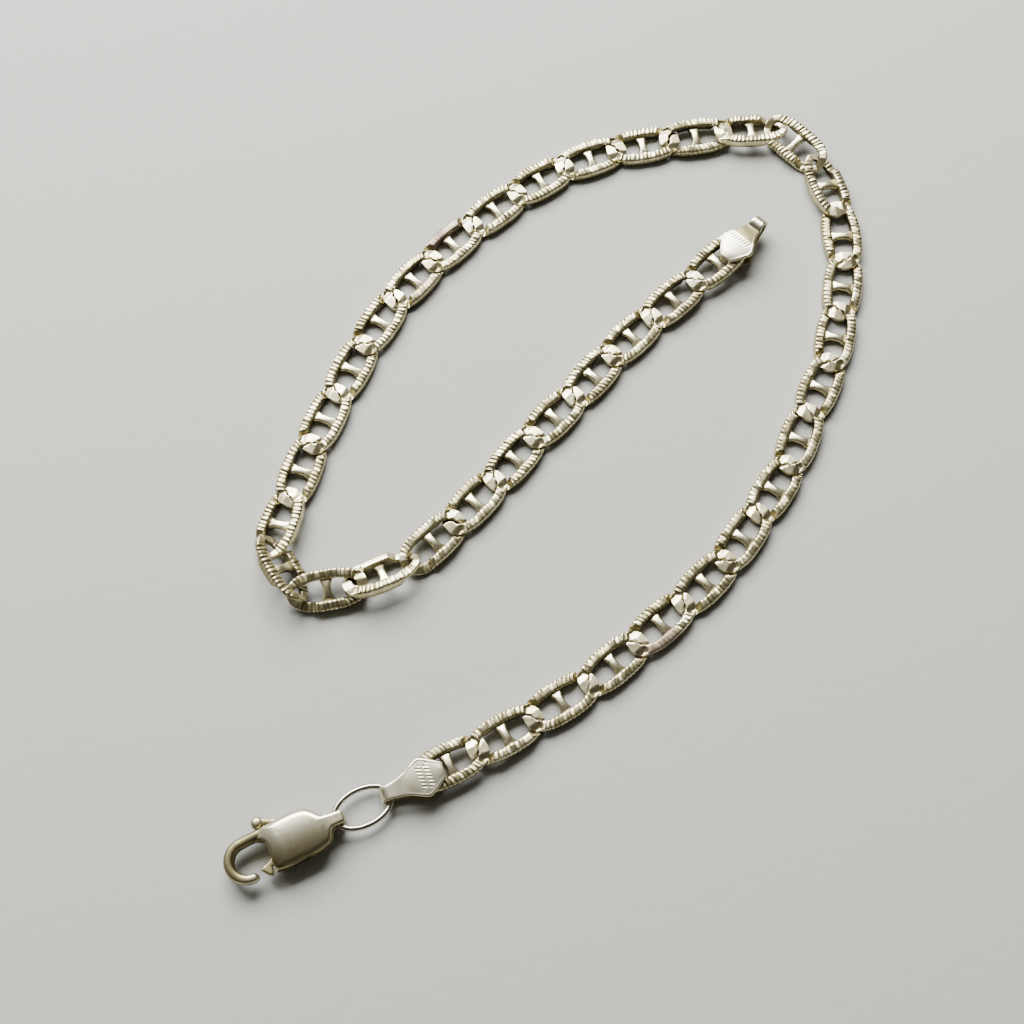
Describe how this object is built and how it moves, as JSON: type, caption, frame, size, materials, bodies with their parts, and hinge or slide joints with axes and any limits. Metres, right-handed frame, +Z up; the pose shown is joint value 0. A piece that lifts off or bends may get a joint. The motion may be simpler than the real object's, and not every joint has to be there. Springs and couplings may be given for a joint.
{
  "type": "bracelet",
  "caption": "Open silver bracelet of flat mariner links, lying flat, with an end tab at each end, a jump ring and a lobster clasp whose lever springs shut.",
  "frame": {"origin": "centre of the bounding box at table level", "axes": "+Z up from the table the bracelet lies on; +Y is the way the chain's far turn lies; +X to the side with the longer outer run"},
  "size_m": [0.0492, 0.064, 0.0028],
  "materials": {
    "bright_silver": "polished silver, lightly tarnished in the recesses",
    "satin_silver": "silver with a soft satin polish"
  },
  "bodies": {
    "bracelet": {"link_01": "bright_silver", "link_02": "bright_silver", "link_03": "bright_silver", "link_04": "bright_silver", "link_05": "bright_silver", "link_06": "bright_silver", "link_07": "bright_silver", "link_08": "bright_silver", "link_09": "bright_silver", "link_10": "bright_silver", "link_11": "bright_silver", "link_12": "bright_silver", "link_13": "bright_silver", "link_14": "bright_silver", "link_15": "bright_silver", "link_16": "bright_silver", "link_17": "bright_silver", "link_18": "bright_silver", "link_19": "bright_silver", "link_20": "bright_silver", "link_21": "bright_silver", "link_22": "bright_silver", "link_23": "bright_silver", "link_24": "bright_silver", "link_25": "bright_silver", "link_26": "bright_silver", "link_27": "bright_silver", "link_28": "bright_silver", "link_29": "bright_silver", "link_30": "bright_silver", "link_31": "bright_silver", "link_32": "bright_silver", "link_33": "bright_silver", "link_34": "bright_silver", "link_35": "bright_silver", "link_36": "bright_silver", "link_37": "bright_silver", "link_38": "bright_silver", "link_39": "bright_silver", "tab_clasp_end": "satin_silver", "tab_free_end": "satin_silver", "jump_ring": "bright_silver", "clasp_body": "satin_silver"},
    "lever": {"clasp_lever": "satin_silver"}
  },
  "joints": [
    {"name": "clasp_lever_hinge", "type": "hinge", "parent": "bracelet", "child": "lever", "pos_m": [-0.02001, -0.0287, 0.0011], "axis": [0, 0, -1], "range_deg": [0, 25], "stiffness_Nm_per_rad": 0.0002, "springref_deg": -17.19}
  ]
}
